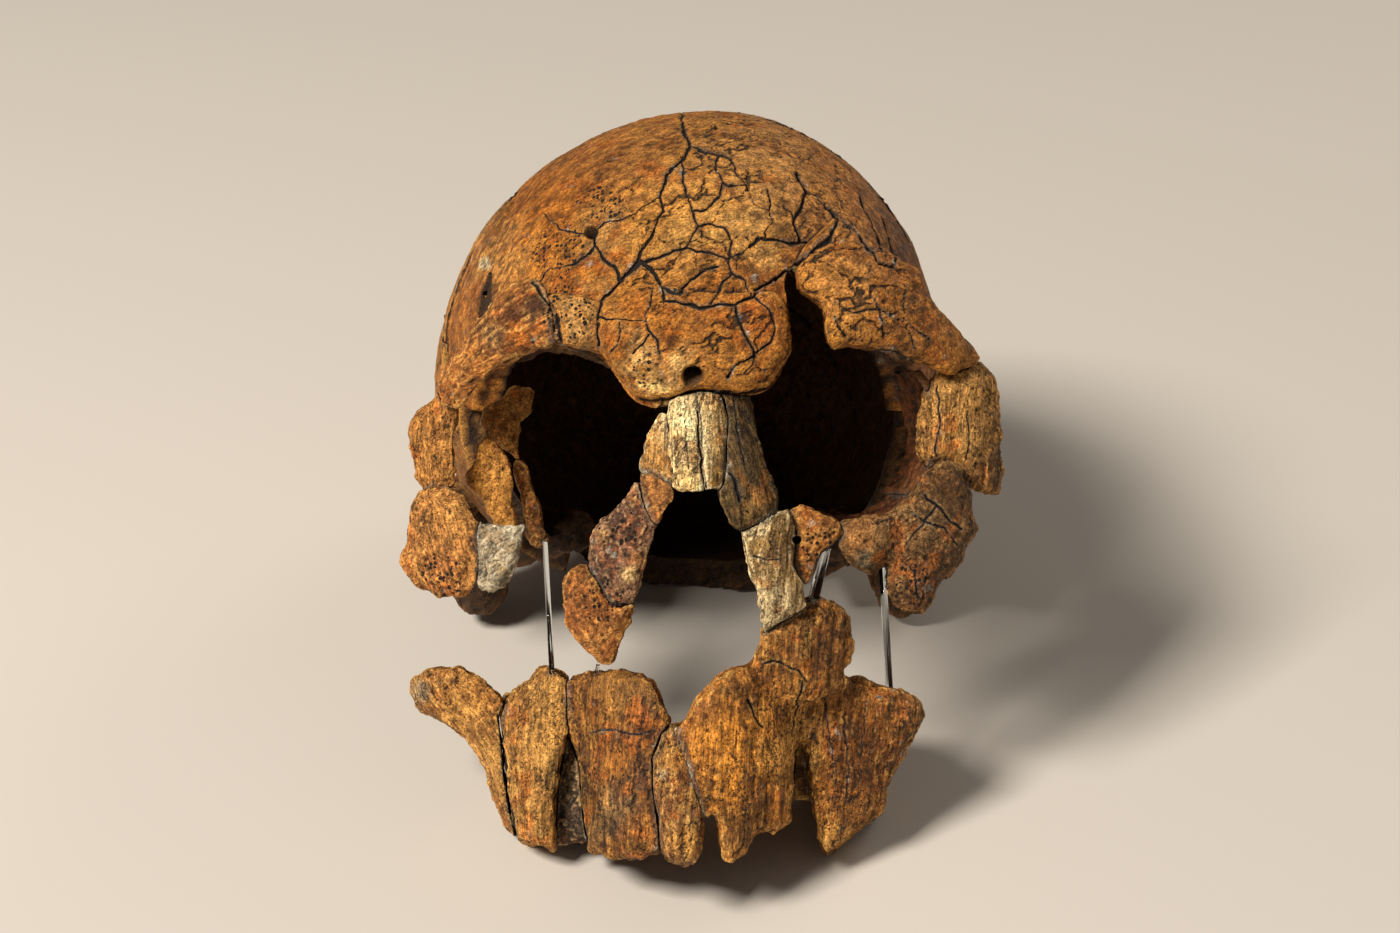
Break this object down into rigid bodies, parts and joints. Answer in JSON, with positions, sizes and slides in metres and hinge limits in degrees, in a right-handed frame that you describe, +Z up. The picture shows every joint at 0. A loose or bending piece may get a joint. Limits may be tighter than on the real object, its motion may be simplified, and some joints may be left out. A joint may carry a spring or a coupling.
{
  "type": "fossil hominin cranium",
  "caption": "Fossil hominin cranium without its lower jaw, rebuilt from broken pieces: round open braincase, flat wide face, orbits and a toothless upper jaw, resting on its base.",
  "frame": {"origin": "centre of the bounding box at floor level", "axes": "+Z up as the cranium lies at rest, -Y the way the face looks along the floor, +X to a viewer's right who stands before the face"},
  "size_m": [0.1242, 0.2014, 0.1273],
  "materials": {
    "vault": "matt mineralised bone, warm brown",
    "face": "matt mineralised bone, orange-brown",
    "nasal": "matt mineralised bone, cream-ochre",
    "jaw": "matt mineralised bone, orange-ochre with brown",
    "pale": "matt mineralised bone, whitish",
    "rod": "clear acrylic rod"
  },
  "bodies": {
    "root": {"brow_left": "vault", "brow_right": "face", "brow_right_inner": "vault", "cheek_left": "face", "cheek_right": "face", "cheek_right_inner": "pale", "frontal": "vault", "frontal_glabella": "vault", "frontal_process_left_lower": "nasal", "frontal_process_left_upper": "nasal", "infraorbital_left": "face", "infraorbital_left_knob": "face", "jaw_left_back": "jaw", "jaw_left_cheek_root": "jaw", "jaw_left_front": "jaw", "jaw_middle": "jaw", "jaw_right_back": "jaw", "jaw_right_cheek_root": "jaw", "jaw_right_front": "jaw", "jaw_right_side": "jaw", "jaw_right_socket": "jaw", "maxilla_left_column": "jaw", "nasal_left": "nasal", "nasal_margin_right": "nasal", "nasal_margin_right_drop": "nasal", "nasal_margin_right_tip": "nasal", "nasal_margin_right_upper": "nasal", "nasal_right": "nasal", "occipital": "vault", "orbit_floor_left": "face", "orbit_roof_left": "face", "orbit_roof_right": "face", "orbit_side_left": "face", "orbit_side_right": "face", "orbit_wall_left": "face", "palate": "jaw", "parietal_left": "vault", "parietal_right": "vault", "rod_left": "rod", "rod_left_inner": "rod", "rod_right": "rod", "sphenoid_right_plate": "face", "sphenoid_right_strip": "face", "sphenoid_right_upper": "face", "temporal_left": "vault", "temporal_right": "vault", "wire_right": "rod"}
  },
  "joints": []
}
